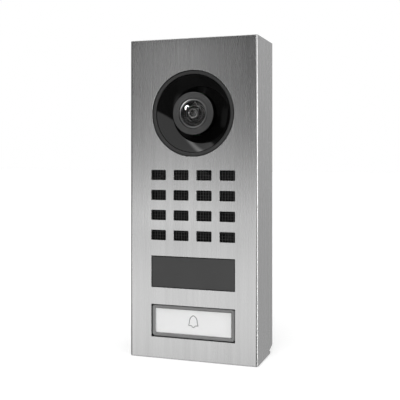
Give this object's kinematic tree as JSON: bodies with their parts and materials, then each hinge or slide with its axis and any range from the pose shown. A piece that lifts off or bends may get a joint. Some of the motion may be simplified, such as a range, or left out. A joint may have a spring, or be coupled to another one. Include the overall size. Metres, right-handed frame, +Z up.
{
  "type": "door intercom panel",
  "caption": "Slim surface-mounted door station with a brushed steel housing, camera, sound slots, dark reader window and a lit call button.",
  "frame": {"origin": "middle of the wall plate's rear face, on the wall", "axes": "+X to the right seen from the front, +Y into the wall, +Z up"},
  "size_m": [0.0654, 0.03, 0.157],
  "materials": {
    "stainless_steel": "vertical satin brushing",
    "grey_plastic": "fine satin moulding",
    "gloss_black": "polished, dark to the eye and clear to infra-red",
    "dark_window": "satin",
    "clear_acrylic": "clear acrylic, polished",
    "label_card": "printed with a plain bell outline",
    "diffuser": "milky moulding",
    "lens_glass": "coated glass",
    "led_epoxy": "clear epoxy",
    "black_plastic": "fine spark texture",
    "rubber": "matt",
    "mesh_wire": "black woven wire",
    "plated_steel": "bright plating",
    "spring_wire": "drawn wire",
    "circuit_board": "green solder mask",
    "copper": "bare copper",
    "terminal_nylon": "green nylon",
    "cone_paper": "pressed black paper",
    "ribbon": "amber film"
  },
  "bodies": {
    "panel": {"acoustic_mesh": "mesh_wire", "antenna_coil": "copper", "board_screw_1": "plated_steel", "board_screw_2": "plated_steel", "button_frame": "black_plastic", "button_seal": "rubber", "camera_bezel": "grey_plastic", "camera_board": "circuit_board", "camera_gasket": "rubber", "capacitor": "plated_steel", "chassis_screw_1": "plated_steel", "chassis_screw_2": "plated_steel", "chassis_screw_3": "plated_steel", "chassis_screw_4": "plated_steel", "front_housing": "stainless_steel", "front_lens": "lens_glass", "hanger_bracket": "stainless_steel", "image_sensor": "black_plastic", "inner_chassis": "black_plastic", "inner_lens": "lens_glass", "ir_board": "circuit_board", "ir_led_1": "led_epoxy", "ir_led_2": "led_epoxy", "ir_led_3": "led_epoxy", "ir_led_4": "led_epoxy", "ir_led_5": "led_epoxy", "ir_led_6": "led_epoxy", "ir_window": "gloss_black", "label_led_left": "led_epoxy", "label_led_right": "led_epoxy", "lens_barrel": "grey_plastic", "lens_retainer": "black_plastic", "light_sensor": "led_epoxy", "main_board": "circuit_board", "microphone": "plated_steel", "microphone_boot": "rubber", "network_transformer": "black_plastic", "processor_shield": "plated_steel", "proximity_sensor": "black_plastic", "reader_board": "circuit_board", "rear_cover": "black_plastic", "rear_seal": "rubber", "return_spring_left": "spring_wire", "return_spring_right": "spring_wire", "ribbon_cable": "ribbon", "security_screw": "plated_steel", "sensor_window": "dark_window", "speaker_cone": "cone_paper", "speaker_frame": "black_plastic", "speaker_gasket": "rubber", "speaker_magnet": "plated_steel", "switch_body": "black_plastic", "terminal_block": "terminal_nylon", "wall_plate": "black_plastic"},
    "call_button": {"button_cap": "clear_acrylic", "name_label": "label_card", "light_guide": "diffuser", "button_carrier": "black_plastic"},
    "switch_plunger_body": {"switch_plunger": "diffuser"}
  },
  "joints": [
    {"name": "call_button_press", "type": "slide", "parent": "panel", "child": "call_button", "axis": [0, 1, 0], "range_m": [0, 0.0008], "stiffness_N_per_m": 1500, "springref_m": -0.001, "deforming": ["return_spring_left", "return_spring_right"]},
    {"name": "switch_plunger_press", "type": "slide", "parent": "panel", "child": "switch_plunger_body", "axis": [0, 1, 0], "range_m": [0, 0.0008]}
  ],
  "couplings": [
    {"joint": "switch_plunger_press", "follows": "call_button_press", "ratio": 1}
  ]
}
